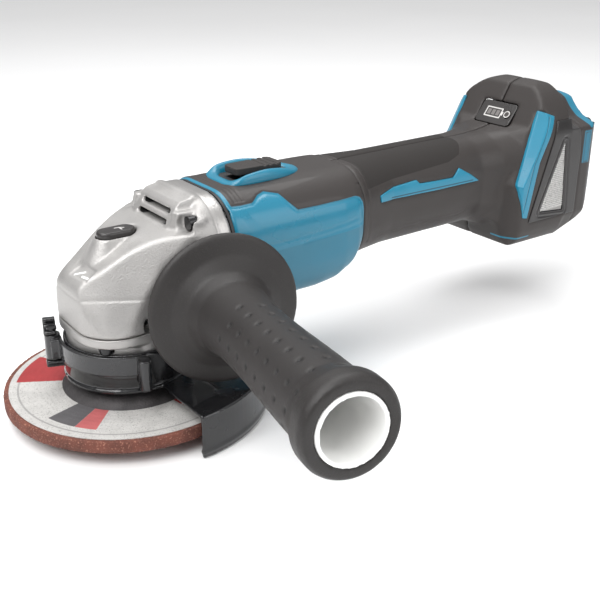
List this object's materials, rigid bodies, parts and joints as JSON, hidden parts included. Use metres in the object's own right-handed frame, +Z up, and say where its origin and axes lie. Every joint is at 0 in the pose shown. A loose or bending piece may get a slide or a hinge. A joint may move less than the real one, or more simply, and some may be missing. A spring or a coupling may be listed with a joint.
{
  "type": "angle grinder",
  "caption": "Cordless angle grinder with a depressed-centre wheel, turning guard, screw-in side handle, slide switch, shaft lock and a bare battery foot.",
  "frame": {"origin": "lower tip of the spindle, on the spindle's axis", "axes": "+X from the gear head to the battery foot, +Z up the spindle away from the wheel, -Y to the side handle"},
  "size_m": [0.374, 0.2527, 0.137],
  "materials": {
    "casting": "satin die-cast",
    "steel": "ground",
    "bronze": "sintered",
    "black_steel": "glossy black coat",
    "abrasive": "bonded grit",
    "label_paper": "printed matt",
    "lamination": "stacked sheet",
    "copper": "enamelled wire",
    "magnet": "nickel plated",
    "teal_plastic": "satin moulded",
    "dark_grip": "grained soft grip",
    "black_plastic": "fine texture",
    "grille": "fine mesh",
    "white_plastic": "smooth"
  },
  "bodies": {
    "tool_body": {"gear_housing": "casting", "bearing_box": "casting", "bearing_box_screws": "black_steel", "bearing_retainer": "steel", "housing_screws": "black_steel", "spindle_bearing_outer_race": "steel", "spindle_bearing_balls": "steel", "spindle_top_bush": "bronze", "front_motor_bearing_outer_race": "steel", "front_motor_bearing_balls": "steel", "rear_motor_bearing_outer_race": "steel", "rear_motor_bearing_balls": "steel", "baffle_plate": "black_plastic", "motor_housing": "teal_plastic", "stator_core": "lamination", "stator_coils": "copper", "grip_shell_left": "dark_grip", "grip_shell_right": "dark_grip", "shell_screws": "black_steel", "side_stripe_left": "teal_plastic", "side_stripe_right": "teal_plastic", "foot_trim_left": "teal_plastic", "foot_trim_right": "teal_plastic", "vent_frame_left": "black_plastic", "vent_frame_right": "black_plastic", "vent_mesh_left": "grille", "vent_mesh_right": "grille", "indicator_panel": "black_plastic", "controller": "black_plastic", "terminal_block": "black_plastic", "terminal_blades": "steel", "switch_bezel": "teal_plastic", "switch_unit": "black_plastic"},
    "spindle_group": {"spindle": "steel", "bevel_gear": "steel", "gear_spacer": "steel", "spindle_bearing_inner_race": "steel", "inner_flange": "black_steel", "grinding_wheel": "abrasive", "wheel_bush": "steel", "wheel_label": "label_paper", "lock_nut": "black_steel"},
    "rotor_group": {"rotor_shaft": "steel", "bevel_pinion": "steel", "rotor_core": "lamination", "rotor_magnets": "magnet", "cooling_fan": "black_plastic", "front_motor_bearing_inner_race": "steel", "rear_motor_bearing_inner_race": "steel"},
    "shaft_lock": {"lock_button": "black_plastic", "lock_pin": "steel"},
    "switch_slide": {"switch_rod": "black_plastic"},
    "switch_rocker": {"switch_knob": "black_plastic"},
    "battery_check": {"check_button": "black_plastic"},
    "guard": {"guard_shell": "black_steel", "guard_pivot_pin": "black_steel"},
    "guard_lever": {"clamp_lever": "black_steel"},
    "handle_screw": {"handle_stud": "steel"},
    "side_handle": {"handle_grip": "dark_grip", "handle_sleeve": "white_plastic"}
  },
  "joints": [
    {"name": "wheel_spin", "type": "hinge", "parent": "tool_body", "child": "spindle_group", "pos_m": [0, 0, 0.03], "axis": [0, 0, 1], "continuous": true},
    {"name": "motor_spin", "type": "hinge", "parent": "tool_body", "child": "rotor_group", "pos_m": [0.08, 0, 0.071], "axis": [1, 0, 0], "continuous": true},
    {"name": "lock_press", "type": "slide", "parent": "tool_body", "child": "shaft_lock", "axis": [0, 0, -1], "range_m": [0, 0.0045], "stiffness_N_per_m": 900},
    {"name": "switch_travel", "type": "slide", "parent": "tool_body", "child": "switch_slide", "axis": [-1, 0, 0], "range_m": [0, 0.006]},
    {"name": "switch_rock", "type": "hinge", "parent": "switch_slide", "child": "switch_rocker", "pos_m": [0.075, 0, 0.1023], "axis": [0, 1, 0], "range_deg": [-3, 0], "stiffness_Nm_per_rad": 2},
    {"name": "check_press", "type": "slide", "parent": "tool_body", "child": "battery_check", "axis": [0.7915, 0, -0.6112], "range_m": [0, 0.0005], "stiffness_N_per_m": 800},
    {"name": "guard_turn", "type": "hinge", "parent": "tool_body", "child": "guard", "pos_m": [0, 0, 0.03], "axis": [0, 0, 1], "range_deg": [-90, 90]},
    {"name": "lever_open", "type": "hinge", "parent": "guard", "child": "guard_lever", "pos_m": [-0.03406, 0.0124, 0.03], "axis": [0, 0, -1], "range_deg": [0, 90]},
    {"name": "handle_advance", "type": "slide", "parent": "tool_body", "child": "handle_screw", "axis": [-0.2042, -0.9775, 0.0523], "range_m": [0, 0.0125]},
    {"name": "handle_turn", "type": "hinge", "parent": "handle_screw", "child": "side_handle", "pos_m": [0.0271, -0.05, 0.05735], "axis": [-0.2042, -0.9775, 0.0523], "range_deg": [0, 3600]}
  ],
  "couplings": [
    {"joint": "motor_spin", "follows": "wheel_spin", "ratio": 3.0909},
    {"joint": "handle_advance", "follows": "handle_turn", "m_per_rad": 0.00019894}
  ]
}
